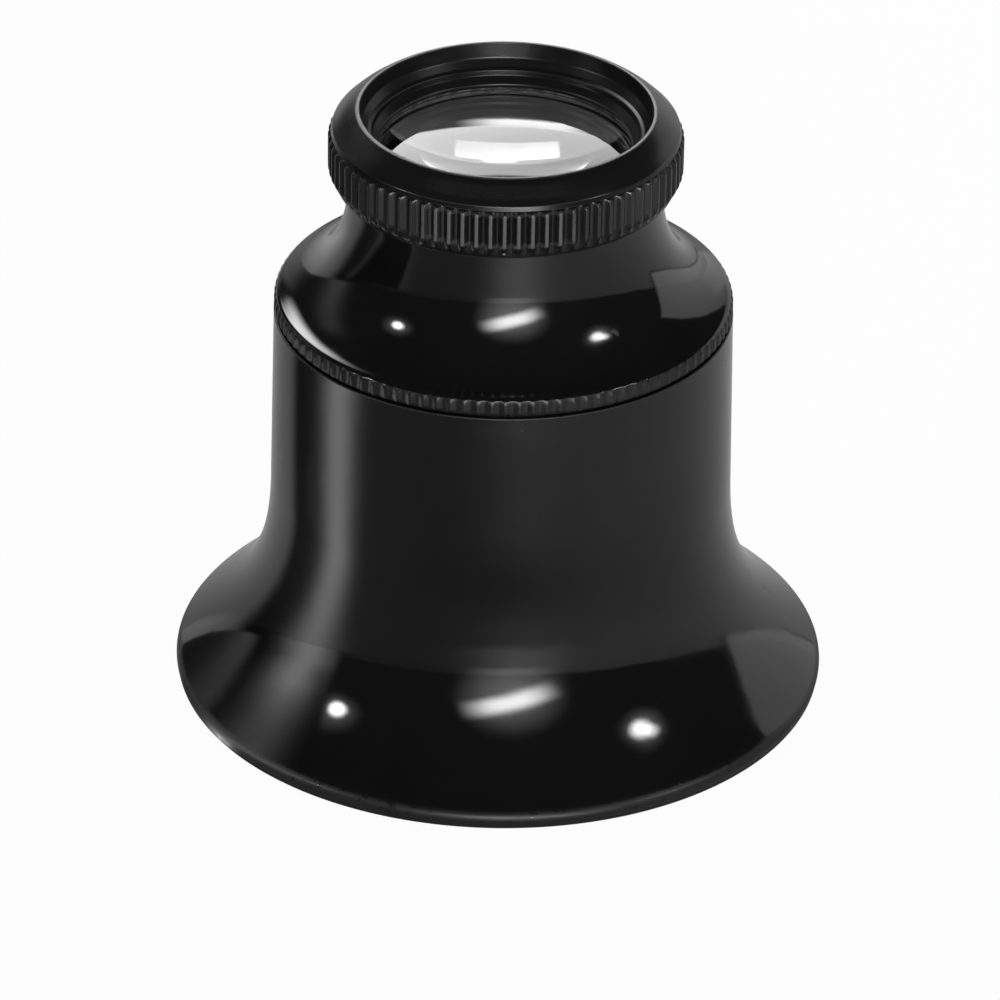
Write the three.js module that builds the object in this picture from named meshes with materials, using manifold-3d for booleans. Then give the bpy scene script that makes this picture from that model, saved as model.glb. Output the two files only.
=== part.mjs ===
// A watchmaker's eye loupe with two lenses. A bell-shaped eye cup carries a lens housing screwed into
// its top, and a knurled ring screwed over the housing's neck holds the front lens down.
// Millimetres, +Z up the optical axis, the loupe standing on the rim of its eye cup at height zero.
import * as THREE from 'three';
import { mergeVertices } from 'three/addons/utils/BufferGeometryUtils.js';
import Module from 'manifold-3d';

const wasm = await Module();
wasm.setup();

// Fineness of the faceted surfaces
const facets = 36; // flat faces round every turned surface
const curveSteps = 6; // straight steps along a drawn curve
const capSteps = 4; // rings of facets on a lens face
const roundSteps = 2; // straight steps along a small rounded edge
const wireSides = 8;
const threadFadeSteps = 4; // facets over which a thread runs out at each end

// How deep a ridge's foot is sunk into the wall that it grows from
const foot = 0.15;

// Clearances between pieces that fit or turn in one another
const clearance = {
  lens: 0.1, // lens or washer to its bore, on radius
  housingThread: 0.15, // crest to root, on radius
  ringThread: 0.07, // crest to root, on radius
  ringSeat: 0.1, // gap left under the screwed-down ring
  skirtEnd: 0.35, // housing's lower end to the step in the cup's bore
  snapRing: 0.05, // wire to its groove
  glass: 0.05, // curved glass to the edge of the opening round it
};

// The two lenses, each with the same spherical cap on both faces and a flat seat round each cap
const glassIndex = 1.517;
const frontLens = { radius: 7.2, focalLength: 30, edge: 1.5, seat: 0.4 };
const rearLens = { radius: 10, focalLength: 45, edge: 1.6, seat: 0.6 };

// Loose rings between and behind the lenses
const slipWasher = { thickness: 0.2, overhang: 0.7 };
const rearWasher = { thickness: 0.3 };
const snapRing = { wire: 0.8, groove: 0.5, gap: 5 };
const lightStop = { width: 1.35, thickness: 0.4 };

// Screw threads: a trapezium ridge on each side of the joint
const housingThread = { pitch: 1, depth: 0.5, rootWidth: 0.55, crestWidth: 0.2, lead: 0.35, runOut: 0.75 };
const ringThread = { pitch: 0.4, depth: 0.25, rootWidth: 0.22, crestWidth: 0.08, lead: 0.2, runOut: 0.2 };

// Eye cup
const cup = {
  height: 22.45,
  rimRadius: 18.1,
  rimThickness: 1,
  rimRound: 0.5, // upper outer edge of the rim
  rimBevel: 0.15, // lower outer edge of the rim
  standWidth: 1, // flat ring that the loupe stands on
  rimSlope: THREE.MathUtils.degToRad(41.8), // of the bell where it meets the rim
  rimPull: 4.7, // how far the bell keeps that slope
  waistPull: 6.4, // how far the bell keeps to the straight body
  waistHeight: 12.5,
  waistSwell: 0.16, // how much wider the body is there than at its top
  topBevel: 0.12,
  wall: 1.3,
  threadWall: 0.8,
};

// Lens housing, from the flange that rests on the cup
const housing = {
  skirtWall: 1.05, // behind the thread's root
  skirtEnd: 1.2, // below the snap ring's groove
  ledgeDepth: 0.55, // of the rear lens's ledge below the flange
  flangeInset: 0.2, // shadow gap's depth under the fine knurl
  flangeGap: 0.1, // shadow gap's height
  bandHeight: 0.55, // up to the edge's rounding
  bandInset: 0.13, // foot of the fine knurl inside the cup's top radius
  edgeRound: 0.5,
  domeSlope: THREE.MathUtils.degToRad(17.6), // at the dome's edge
  domePull: 1.92, // how far the dome keeps that slope
  neckPull: 3.2, // how far the dome's curve keeps to the neck
  domeHeight: 7.1, // flange to the straight neck
  neckLength: 0.7,
  neckStep: 0.12, // neck's surface beyond the thread's crest
  neckWall: 0.95, // between the lens's bore and the thread's root
  threadLength: 1.2,
  pilotLength: 0.6, // plain end of the neck above its thread
  lensProud: 0.15, // how far the lens's upper seat stands above the neck's end
  stopDepth: 3.7, // light stop's ledge below the lens's ledge
  stopLedgeWidth: 0.55,
  throatLength: 0.9, // straight throat below the light stop
  coneFoot: 0.85, // straight bore above the rear lens's ledge
};

// Knurled ring, from its lower face
const ring = {
  wall: 0.88, // between the thread's root and the foot of the knurl
  footInset: 0.25,
  footBevel: 0.65, // height of the bevel below the knurl
  knurlLength: 2.3,
  collar: 0.05, // how far the collar above the knurl stands out
  collarHeight: 0.25,
  collarTaper: 0.08,
  slopeHeight: 1.05,
  slopeInset: 1.27,
  slopeSwell: 0.1, // bulge of the slope between collar and lip
  lip: 0.2,
  shelf: 0.2, // thickness of the edge that holds the lens
  shelfBevel: 0.35,
  stepHeight: 0.3, // lower wall of the sight opening
  stepTaper: 0.1,
  stepWidth: 0.2,
  stepBevel: 0.1,
};

// Knurls: each tooth's outline as shares of the pitch and of the tooth's depth
const ringKnurl = { pitch: 0.755, depth: 0.2, toothShares: [[-0.3, 0], [-0.15, 1], [0.15, 1], [0.3, 0]] };
const ringKnurlBevel = 0.4; // each tooth's end slopes away over this length
const bandKnurl = { pitch: 0.755, depth: 0.11, toothShares: [[-0.33, 0], [-0.15, 1], [0.15, 1], [0.33, 0]] };
const bandKnurlBevel = 0.15; // at each tooth's lower end; its upper end follows the edge's rounding

// Sizes that follow from the ones above, from the lenses outwards
const frontOpening = frontLens.radius - frontLens.seat + clearance.glass;
const rearOpening = rearLens.radius - rearLens.seat + clearance.glass;
const neckBore = frontLens.radius + clearance.lens;
const neckRoot = neckBore + housing.neckWall;
const neckCrest = neckRoot + ringThread.depth;
const neckRadius = neckCrest + housing.neckStep;
const ringBore = neckCrest + clearance.ringThread;
const ringKnurlFoot = ringBore + ring.wall;
const skirtBore = rearLens.radius + clearance.lens;
const skirtRoot = skirtBore + housing.skirtWall;
const skirtCrest = skirtRoot + housingThread.depth;
const cupThreadBore = skirtCrest + clearance.housingThread;
const cupTopRadius = cupThreadBore + cup.threadWall;
const bandFoot = cupTopRadius - housing.bandInset;
const bandCrest = bandFoot + bandKnurl.depth;

// Heights above the housing's flange, or above the ring's lower face for the ring's own
const rearLedge = -housing.ledgeDepth;
const rearLensUnderside = rearLedge - rearLens.edge;
const rearWasherUnderside = rearLensUnderside - rearWasher.thickness;
const grooveTop = rearWasherUnderside + clearance.snapRing;
const grooveFloor = rearWasherUnderside - snapRing.wire - clearance.snapRing;
const skirtEnd = grooveFloor - housing.skirtEnd;
const bandTop = housing.flangeGap + housing.bandHeight;
const neckShoulder = housing.domeHeight + housing.neckLength;
const neckEnd = neckShoulder + housing.threadLength + housing.pilotLength;
const frontLensTop = neckEnd + housing.lensProud;
const frontLedge = frontLensTop - frontLens.edge;
const stopLedge = frontLedge - housing.stopDepth;
const ringSeat = neckShoulder + clearance.ringSeat;
const shelfUnderside = frontLensTop + slipWasher.thickness - ringSeat;
const knurlTop = ring.footBevel + ring.knurlLength;
const ringHeight = knurlTop + ring.collarHeight + ring.slopeHeight;

const materials = {
  cupPlastic: new THREE.MeshStandardMaterial({ color: 0x0b0b0c, roughness: 0.22, metalness: 0 }),
  housingPlastic: new THREE.MeshStandardMaterial({ color: 0x0c0c0d, roughness: 0.24, metalness: 0 }),
  ringPlastic: new THREE.MeshStandardMaterial({ color: 0x131314, roughness: 0.42, metalness: 0 }),
  glass: new THREE.MeshStandardMaterial({
    color: 0xdfe7ea,
    roughness: 0.03,
    metalness: 0,
    transparent: true,
    opacity: 0.4,
  }),
  nylon: new THREE.MeshStandardMaterial({ color: 0x1a1a1b, roughness: 0.8, metalness: 0 }),
  mattBlack: new THREE.MeshStandardMaterial({ color: 0x080808, roughness: 0.9, metalness: 0 }),
  springSteel: new THREE.MeshStandardMaterial({ color: 0x8c8f93, roughness: 0.35, metalness: 1 }),
};

// Turns a closed mesh into a solid that can be joined and cut
function solidOf(geometry) {
  geometry.deleteAttribute('normal');
  geometry.deleteAttribute('uv');
  const merged = mergeVertices(geometry);
  return new wasm.Manifold(
    new wasm.Mesh({
      numProp: 3,
      vertProperties: merged.attributes.position.array,
      triVerts: new Uint32Array(merged.index.array),
    }),
  );
}

// A named mesh of a finished solid, its origin at the given height in the group that holds it
function piece(name, solid, material, height) {
  const { vertProperties, triVerts } = solid.getMesh();
  const geometry = new THREE.BufferGeometry();
  geometry.setAttribute('position', new THREE.BufferAttribute(vertProperties, 3));
  geometry.setIndex(new THREE.BufferAttribute(triVerts, 1));
  geometry.computeVertexNormals();
  const mesh = new THREE.Mesh(geometry, material);
  mesh.name = name;
  mesh.position.z = height;
  return mesh;
}

// Turns an outline of [radius, height] points round the axis. The outline runs up its outer side.
function turned(outline) {
  const points = outline.map(([radius, height]) => new THREE.Vector2(radius, height));
  return solidOf(new THREE.LatheGeometry(points, facets).rotateX(Math.PI / 2));
}

// A turned outline that comes back to its first point
function turnedRing(outline) {
  return turned([...outline, outline[0]]);
}

function flatRing(innerRadius, outerRadius, floor, top) {
  return turnedRing([[innerRadius, floor], [outerRadius, floor], [outerRadius, top], [innerRadius, top]]);
}

// The points of an outer edge rounded from upright to the given slope, from its foot upwards
function roundedEdge(radius, top, round, slope) {
  const points = [];
  for (let step = 0; step <= roundSteps; step += 1) {
    const angle = (step / roundSteps) * (Math.PI / 2 - slope);
    points.push([radius - round + round * Math.cos(angle), top - round + round * Math.sin(angle)]);
  }
  return points;
}

// A bell's curve that leaves its low edge at a slope and ends upright at its high edge
function bellCurve(low, slope, lowPull, high, highPull) {
  const curve = new THREE.CubicBezierCurve(
    new THREE.Vector2(...low),
    new THREE.Vector2(low[0] - lowPull * Math.cos(slope), low[1] + lowPull * Math.sin(slope)),
    new THREE.Vector2(high[0], high[1] - highPull),
    new THREE.Vector2(...high),
  );
  return curve.getPoints(curveSteps).map((point) => [point.x, point.y]);
}

// A body through matching sections, capped at both ends. A section runs up its inner side.
function swept(sections) {
  const corners = sections[0].length;
  const triangles = [];
  for (let section = 0; section + 1 < sections.length; section += 1) {
    for (let corner = 0; corner < corners; corner += 1) {
      const here = section * corners + corner;
      const beside = section * corners + ((corner + 1) % corners);
      triangles.push(here, beside, beside + corners);
      triangles.push(here, beside + corners, here + corners);
    }
  }
  const last = (sections.length - 1) * corners;
  for (let corner = 1; corner + 1 < corners; corner += 1) {
    triangles.push(0, corner + 1, corner);
    triangles.push(last, last + corner, last + corner + 1);
  }
  const geometry = new THREE.BufferGeometry().setFromPoints(sections.flat());
  geometry.setIndex(triangles);
  return solidOf(geometry);
}

// An outline of [radius, height] points standing on the half plane at an angle round the axis
function sectionAt(angle, outline) {
  return outline.map(
    ([radius, height]) => new THREE.Vector3(radius * Math.cos(angle), radius * Math.sin(angle), height),
  );
}

// A right-hand thread's ridge from a wall out or in to its crest, running out at both ends
function threadRidge(thread, wallRadius, crestRadius, startHeight, turns) {
  const outward = Math.sign(crestRadius - wallRadius);
  const base = wallRadius - outward * foot;
  const buried = wallRadius - (outward * foot) / 2;
  const flankSlope = (thread.rootWidth - thread.crestWidth) / 2 / thread.depth;
  const baseHalf = thread.rootWidth / 2 + flankSlope * foot;
  const steps = Math.round(turns * facets);
  const sections = [];
  for (let step = 0; step <= steps; step += 1) {
    const height = startHeight + (thread.pitch * step) / facets;
    const reach = Math.min(1, step / threadFadeSteps, (steps - step) / threadFadeSteps);
    const crest = THREE.MathUtils.lerp(buried, crestRadius, reach);
    const crestHalf = thread.crestWidth / 2 + flankSlope * Math.abs(crestRadius - crest);
    const baseSide = [[base, height - baseHalf], [base, height + baseHalf]];
    const crestSide = [[crest, height + crestHalf], [crest, height - crestHalf]];
    const section = outward > 0 ? [...baseSide, ...crestSide] : [...baseSide, ...crestSide].reverse();
    sections.push(sectionAt((2 * Math.PI * step) / facets, section));
  }
  return swept(sections);
}

// A ring of upright knurl teeth with its valleys sunk below the wall that carries them
function knurledRing(knurl, footRadius, floor, top) {
  const count = Math.round((2 * Math.PI * (footRadius + knurl.depth)) / knurl.pitch);
  const outline = [];
  for (let tooth = 0; tooth < count; tooth += 1) {
    for (const [acrossShare, depthShare] of knurl.toothShares) {
      const angle = ((tooth + acrossShare) / count) * 2 * Math.PI;
      const radius = footRadius - foot + depthShare * (knurl.depth + foot);
      outline.push(new THREE.Vector2(radius * Math.cos(angle), radius * Math.sin(angle)));
    }
  }
  const hole = [];
  for (let side = 0; side < facets; side += 1) {
    const angle = (side / facets) * 2 * Math.PI;
    const radius = footRadius - 2 * foot;
    hole.push(new THREE.Vector2(radius * Math.cos(angle), radius * Math.sin(angle)));
  }
  const shape = new THREE.Shape(outline);
  shape.holes.push(new THREE.Path(hole));
  const geometry = new THREE.ExtrudeGeometry(shape, { depth: top - floor, bevelEnabled: false });
  return solidOf(geometry.translate(0, 0, floor));
}

// A glass disc with a spherical cap on each face, centred on its own mid plane
function lensSolid(lens) {
  const capRadius = lens.radius - lens.seat;
  const curveRadius = 2 * (glassIndex - 1) * lens.focalLength;
  const capBase = Math.sqrt(curveRadius ** 2 - capRadius ** 2);
  const cap = [];
  for (let step = 0; step <= capSteps; step += 1) {
    const radius = (capRadius * step) / capSteps;
    cap.push([radius, lens.edge / 2 + Math.sqrt(curveRadius ** 2 - radius ** 2) - capBase]);
  }
  const lowerFace = cap.map(([radius, height]) => [radius, -height]);
  const rim = [[lens.radius, -lens.edge / 2], [lens.radius, lens.edge / 2]];
  return turned([...lowerFace, ...rim, ...cap.reverse()]);
}

function eyeCup() {
  const waist = [cupTopRadius + cup.waistSwell, cup.waistHeight];
  const rimEdge = roundedEdge(cup.rimRadius, cup.rimThickness, cup.rimRound, cup.rimSlope);
  const outerBell = bellCurve(rimEdge.pop(), cup.rimSlope, cup.rimPull, waist, cup.waistPull);
  const standInner = cup.rimRadius - cup.rimBevel - cup.standWidth;
  const boreTop = [waist[0] - cup.wall, cup.waistHeight];
  const innerBell = bellCurve([standInner, 0], cup.rimSlope, cup.rimPull, boreTop, cup.waistPull);
  const step = cup.height + skirtEnd - clearance.skirtEnd;
  const body = turnedRing([
    [cup.rimRadius - cup.rimBevel, 0],
    [cup.rimRadius, cup.rimBevel],
    ...rimEdge,
    ...outerBell,
    [cupTopRadius, cup.height - cup.topBevel],
    [cupTopRadius - cup.topBevel, cup.height],
    [cupThreadBore, cup.height],
    [cupThreadBore, step],
    [boreTop[0], step],
    ...innerBell.reverse(),
  ]);
  const start = cup.height + skirtEnd + housingThread.lead + housingThread.pitch / 2;
  const turns = housingThreadTurns() - 1 / 2;
  const crest = skirtRoot + clearance.housingThread;
  return body.add(threadRidge(housingThread, cupThreadBore, crest, start, turns));
}

function housingThreadTurns() {
  return (-skirtEnd - housingThread.lead - housingThread.runOut) / housingThread.pitch;
}

function ringThreadTurns() {
  return (housing.threadLength - ringThread.lead - ringThread.runOut) / ringThread.pitch;
}

// The space that a knurl's teeth may fill: inside the given outline, which slopes away at their ends
function knurlSpace(footRadius, outline) {
  const inner = footRadius - 2 * foot;
  return turnedRing([[inner, outline[0][1]], ...outline, [inner, outline[outline.length - 1][1]]]);
}

function lensHousing() {
  const edge = roundedEdge(bandCrest, bandTop + housing.edgeRound, housing.edgeRound, housing.domeSlope);
  const dome = bellCurve(edge.pop(), housing.domeSlope, housing.domePull,
    [neckRadius, housing.domeHeight], housing.neckPull);
  const teethTop = edge[edge.length - 1][1];
  const throat = frontOpening - housing.stopLedgeWidth;
  const grooveRadius = skirtBore + snapRing.groove;
  const flangeRadius = bandFoot - housing.flangeInset;
  const body = turnedRing([
    [skirtBore, skirtEnd],
    [skirtRoot, skirtEnd],
    [skirtRoot, 0],
    [flangeRadius, 0],
    [flangeRadius, housing.flangeGap],
    [bandFoot, housing.flangeGap],
    [bandFoot, teethTop],
    ...dome,
    [neckRadius, neckShoulder],
    [neckRoot, neckShoulder],
    [neckRoot, neckEnd],
    [neckBore, neckEnd],
    [neckBore, frontLedge],
    [frontOpening, frontLedge],
    [frontOpening, stopLedge],
    [throat, stopLedge],
    [throat, stopLedge - housing.throatLength],
    [rearOpening, rearLedge + housing.coneFoot],
    [rearOpening, rearLedge],
    [skirtBore, rearLedge],
    [skirtBore, grooveTop],
    [grooveRadius, grooveTop],
    [grooveRadius, grooveFloor],
    [skirtBore, grooveFloor],
  ]);
  const skirtThread = threadRidge(housingThread, skirtRoot, skirtCrest, skirtEnd + housingThread.lead,
    housingThreadTurns());
  const neckThread = threadRidge(ringThread, neckRoot, neckCrest, neckShoulder + ringThread.lead,
    ringThreadTurns());
  const teethSpace = knurlSpace(bandFoot, [
    [bandFoot, housing.flangeGap],
    [bandCrest, housing.flangeGap + bandKnurlBevel],
    ...edge,
  ]);
  const teeth = knurledRing(bandKnurl, bandFoot, housing.flangeGap, teethTop).intersect(teethSpace);
  return body.add(skirtThread).add(neckThread).add(teeth);
}

function knurledScrewRing() {
  const collarRadius = ringKnurlFoot + ring.collar;
  const slopeFoot = [collarRadius - ring.collarTaper, knurlTop + ring.collarHeight];
  const lipOuter = slopeFoot[0] - ring.slopeInset;
  const slopeMiddle = [(slopeFoot[0] + lipOuter + ring.slopeSwell) / 2,
    slopeFoot[1] + (ring.slopeHeight + ring.slopeSwell) / 2];
  const shelfTop = shelfUnderside + ring.shelf;
  const stepRadius = frontOpening + ring.shelfBevel;
  const stepFloor = shelfTop + ring.shelfBevel;
  const stepTop = stepFloor + ring.stepHeight;
  const washerBore = frontLens.radius + slipWasher.overhang + clearance.lens;
  const recessFloor = shelfUnderside - slipWasher.thickness;
  const body = turnedRing([
    [ringBore, 0],
    [ringKnurlFoot - ring.footInset, 0],
    [ringKnurlFoot, ring.footBevel],
    [ringKnurlFoot, knurlTop],
    [collarRadius, knurlTop],
    slopeFoot,
    slopeMiddle,
    [lipOuter, ringHeight],
    [lipOuter - ring.lip, ringHeight],
    [stepRadius + ring.stepTaper + ring.stepWidth, stepTop + ring.stepBevel],
    [stepRadius + ring.stepTaper, stepTop],
    [stepRadius, stepFloor],
    [frontOpening, shelfTop],
    [frontOpening, shelfUnderside],
    [washerBore, shelfUnderside],
    [washerBore, recessFloor],
    [ringBore, recessFloor],
  ]);
  const start = ringThread.lead + ringThread.pitch / 2 - clearance.ringSeat;
  const crest = neckRoot + clearance.ringThread;
  const thread = threadRidge(ringThread, ringBore, crest, start, ringThreadTurns() - 1 / 2);
  const knurlCrest = ringKnurlFoot + ringKnurl.depth;
  const teethSpace = knurlSpace(ringKnurlFoot, [
    [ringKnurlFoot, ring.footBevel],
    [knurlCrest, ring.footBevel + ringKnurlBevel],
    [knurlCrest, knurlTop - ringKnurlBevel],
    [ringKnurlFoot, knurlTop],
  ]);
  const teeth = knurledRing(ringKnurl, ringKnurlFoot, ring.footBevel, knurlTop).intersect(teethSpace);
  return body.add(thread).add(teeth);
}

// A spring-wire ring, open at one place, that snaps into the groove behind the rear lens
function wireRing() {
  const half = snapRing.wire / 2;
  const centreRadius = skirtBore + snapRing.groove - clearance.snapRing - half;
  const cornerReach = half / Math.cos(Math.PI / wireSides);
  const outline = [];
  for (let side = 0; side < wireSides; side += 1) {
    const angle = -((side + 0.5) / wireSides) * 2 * Math.PI;
    outline.push([centreRadius + cornerReach * Math.cos(angle), cornerReach * Math.sin(angle)]);
  }
  const gapAngle = snapRing.gap / centreRadius;
  const sections = [];
  for (let step = 0; step <= facets; step += 1) {
    const angle = gapAngle / 2 + ((2 * Math.PI - gapAngle) * step) / facets;
    sections.push(sectionAt(angle, outline));
  }
  return swept(sections);
}

function loupe() {
  const group = new THREE.Group();
  group.add(piece('eye_cup', eyeCup(), materials.cupPlastic, 0));

  const housingGroup = new THREE.Group();
  housingGroup.position.z = cup.height;
  group.add(housingGroup);
  const stopRadius = frontOpening - clearance.lens;
  const stop = flatRing(stopRadius - lightStop.width, stopRadius, 0, lightStop.thickness);
  const washer = flatRing(rearOpening, rearLens.radius, 0, rearWasher.thickness);
  const rearLensMiddle = rearLedge - rearLens.edge / 2;
  const frontLensMiddle = frontLedge + frontLens.edge / 2;
  housingGroup.add(piece('lens_housing', lensHousing(), materials.housingPlastic, 0));
  housingGroup.add(piece('front_lens', lensSolid(frontLens), materials.glass, frontLensMiddle));
  housingGroup.add(piece('light_stop', stop, materials.mattBlack, stopLedge));
  housingGroup.add(piece('rear_lens', lensSolid(rearLens), materials.glass, rearLensMiddle));
  housingGroup.add(piece('rear_lens_washer', washer, materials.nylon, rearWasherUnderside));
  const snapRingMiddle = rearWasherUnderside - snapRing.wire / 2;
  housingGroup.add(piece('rear_snap_ring', wireRing(), materials.springSteel, snapRingMiddle));

  const ringGroup = new THREE.Group();
  ringGroup.position.z = ringSeat;
  housingGroup.add(ringGroup);
  const slipOuter = frontLens.radius + slipWasher.overhang;
  const slip = flatRing(frontOpening, slipOuter, 0, slipWasher.thickness);
  ringGroup.add(piece('knurled_ring', knurledScrewRing(), materials.ringPlastic, 0));
  ringGroup.add(piece('front_slip_washer', slip, materials.nylon, shelfUnderside - slipWasher.thickness));
  return group;
}

export default loupe();
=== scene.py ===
import math

import bmesh
import bpy
import numpy as np
from mathutils import Matrix, Vector


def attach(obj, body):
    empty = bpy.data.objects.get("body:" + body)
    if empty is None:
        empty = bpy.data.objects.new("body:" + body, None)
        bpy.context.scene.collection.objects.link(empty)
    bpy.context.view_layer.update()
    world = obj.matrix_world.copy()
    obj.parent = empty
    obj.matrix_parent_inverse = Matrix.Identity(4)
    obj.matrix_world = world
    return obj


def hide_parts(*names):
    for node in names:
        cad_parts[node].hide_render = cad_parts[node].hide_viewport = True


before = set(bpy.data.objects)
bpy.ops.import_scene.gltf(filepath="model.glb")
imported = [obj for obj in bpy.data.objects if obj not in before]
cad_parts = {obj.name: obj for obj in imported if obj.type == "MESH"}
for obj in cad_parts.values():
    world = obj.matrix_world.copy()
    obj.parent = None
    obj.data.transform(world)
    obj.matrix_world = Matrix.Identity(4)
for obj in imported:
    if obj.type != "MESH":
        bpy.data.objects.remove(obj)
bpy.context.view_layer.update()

mm = 0.001
fullTurn = 2 * math.pi
# How near two points of an outline may be, and two radii to be the same wall, both in millimetres; and how
# near two points of a mesh are when they are merged, in metres
samePoint, onWall, weldDistance = 1e-6, 0.001, 2e-7
# How far a rounding reaches from its corner, in millimetres
crisp, sharp, slight, even, mild, soft, bold = 0.02, 0.03, 0.05, 0.06, 0.08, 0.1, 0.12
print("frame loaded")


# Rows of an outline: radius, height and how far its rounding reaches from the corner, all in millimetres
def corner(radius, height, reach):
    return np.array([[radius, height, reach]], float)


# Points that are already close together, so they need no rounding
def run(points):
    points = np.asarray(points, float)
    return np.column_stack([points, np.zeros(len(points))])


# Evenly spaced points of a line: start * (1 - share) + end * share
def straight(start, end, count):
    share = np.linspace(0, 1, count)[:, None]
    return run(np.array(start, float) * (1 - share) + np.array(end, float) * share)


# Part of a circle in the outline's plane: middle + radius * (cos, sin) of an angle that grows evenly
def arc(middle, radius, startAngle, endAngle, count):
    angle = np.linspace(startAngle, endAngle, count)
    return run(np.column_stack([middle[0] + radius * np.cos(angle), middle[1] + radius * np.sin(angle)]))


# Cubic Bezier curve that leaves its low end at a slope and comes upright into its high end: each pull is how
# far the handle lies from its end
def bell(low, slope, lowPull, high, highPull, count):
    low, high = np.array(low, float), np.array(high, float)
    lowHandle = low + lowPull * np.array([-math.cos(slope), math.sin(slope)])
    highHandle = high - np.array([0, highPull])
    share = np.linspace(0, 1, count)[:, None]
    rest = 1 - share
    lower = rest**3 * low + 3 * rest**2 * share * lowHandle
    upper = 3 * rest * share**2 * highHandle + share**3 * high
    return run(lower + upper)


# A closed outline with its corners rounded: each corner becomes a parabola from one side to the other, and a
# point just outside each end of it keeps the flat sides flat where normals are smoothed. The wear is how
# sharply the outline turns outwards there.
def softened(rows, steps):
    guard = 0.5  # how far outside, as a share of the rounding's reach
    most = 0.4  # of a side, for one rounding
    point = rows[:, None, :2]
    sides = [np.roll(point, 1, 0) - point, np.roll(point, -1, 0) - point]
    lengths = [np.linalg.norm(side, axis=2, keepdims=True) for side in sides]
    wanted = rows[:, 2, None, None]
    reach = np.minimum(wanted, most * np.minimum(lengths[0], lengths[1]))
    start, end = [point + side / length * reach for side, length in zip(sides, lengths)]
    share = np.linspace(0, 1, steps)[None, :, None]
    bend = (1 - share) ** 2 * start + 2 * share * (1 - share) * point + share**2 * end
    points = np.concatenate([start + guard * (start - point), bend, end + guard * (end - point)], axis=1)
    turning = sides[0][..., 0] * -sides[1][..., 1] + sides[0][..., 1] * sides[1][..., 0]
    turning = turning / (lengths[0] * lengths[1])[..., 0]
    wear = np.clip(turning, 0, 1) * (wanted[..., 0] > 0) * np.ones((1, steps + 2))
    wear[:, [0, -1]] = 0
    points, wear = points.reshape(-1, 2), wear.ravel()
    apart = np.linalg.norm(points - np.roll(points, 1, 0), axis=1) > samePoint
    return points[apart], wear[apart]


# Points round the upright axis: (radius * cos, radius * sin, height)
def around(radius, angle, height):
    return np.stack(np.broadcast_arrays(radius * np.cos(angle), radius * np.sin(angle), height), -1)


# A mesh from a grid of points, each four neighbours a face. Rows and columns may each join end to start;
# points that fall together, such as those at a pole, are merged.
def gridMesh(name, points, joinRows=True, wear=None):
    rows, columns = points.shape[:2]
    index = np.arange(rows * columns).reshape(rows, columns)
    below = index if joinRows else index[:-1]
    above = np.roll(index, -1, 0) if joinRows else index[1:]
    faces = np.stack([below, np.roll(below, -1, 1), np.roll(above, -1, 1), above], axis=-1).reshape(-1, 4)
    mesh = bpy.data.meshes.new(name)
    mesh.vertices.add(rows * columns)
    mesh.vertices.foreach_set("co", (points * mm).astype(np.float32).ravel())
    mesh.loops.add(faces.size)
    mesh.loops.foreach_set("vertex_index", faces.astype(np.int32).ravel())
    mesh.polygons.add(len(faces))
    mesh.polygons.foreach_set("loop_start", np.arange(0, faces.size, 4, dtype=np.int32))
    mesh.update(calc_edges=True)
    marks = mesh.attributes.new("wear", "FLOAT", "POINT")
    level = np.zeros((rows, columns)) if wear is None else np.broadcast_to(wear, (rows, columns))
    marks.data.foreach_set("value", level.astype(np.float32).ravel())
    work = bmesh.new()
    work.from_mesh(mesh)
    bmesh.ops.remove_doubles(work, verts=work.verts, dist=weldDistance)
    bmesh.ops.recalc_face_normals(work, faces=work.faces)
    work.to_mesh(mesh)
    work.free()
    mesh.polygons.foreach_set("use_smooth", np.ones(len(mesh.polygons), bool))
    piece = bpy.data.objects.new(name, mesh)
    bpy.context.scene.collection.objects.link(piece)
    return piece


# An outline turned round the upright axis. The radius may be changed by a function of angle, radius and
# height, for teeth and threads, which also says where they are worn.
def turned(name, rows, angles, reshape=None, joinRows=True, steps=5, edgeWear=1.0):
    outline, wear = softened(rows, steps)
    radius, height, angle = outline[:, :1], outline[:, 1:], angles[None, :]
    wear = np.repeat(edgeWear * wear[:, None], len(angles), 1)
    if reshape:
        radius, extra = reshape(angle, radius, height)
        wear = np.maximum(wear, extra)
    return gridMesh(name, around(radius, angle, height), joinRows, wear)


# Equal steps round: the share of a full turn
def evenAngles(count):
    return np.arange(count) / count * fullTurn


# Angles that fall on the corners of every tooth round a rim: its number plus each share, of a full turn
def toothAngles(count, shares):
    return ((np.arange(count)[:, None] + np.array(shares)) / count * fullTurn).ravel()


# How high a point stands on a tooth, by its angle: 1 across the crest, down to 0 at the foot
def toothShare(angle, count, crestShare, footShare):
    across = np.abs((angle / fullTurn * count + 0.5) % 1 - 0.5)
    return np.clip((footShare - across) / (footShare - crestShare), 0, 1)


# How high a point stands on a right-hand thread: the ridge's middle climbs one pitch a turn, its flanks fall
# from crest width to root width, and it fades out along its ends.
def threadShare(angle, height, thread, start, turns):
    climbed = (height - start) / thread["pitch"] - angle / fullTurn
    turn = np.maximum(np.round(climbed), 0)
    across = np.abs(climbed - turn) * thread["pitch"]
    flank = (thread["rootWidth"] / 2 - across) / ((thread["rootWidth"] - thread["crestWidth"]) / 2)
    along = turn + angle / fullTurn
    fade = np.clip(np.minimum(along, turns - along) / thread["fade"], 0, 1)
    return np.clip(flank, 0, 1) * fade


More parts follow.
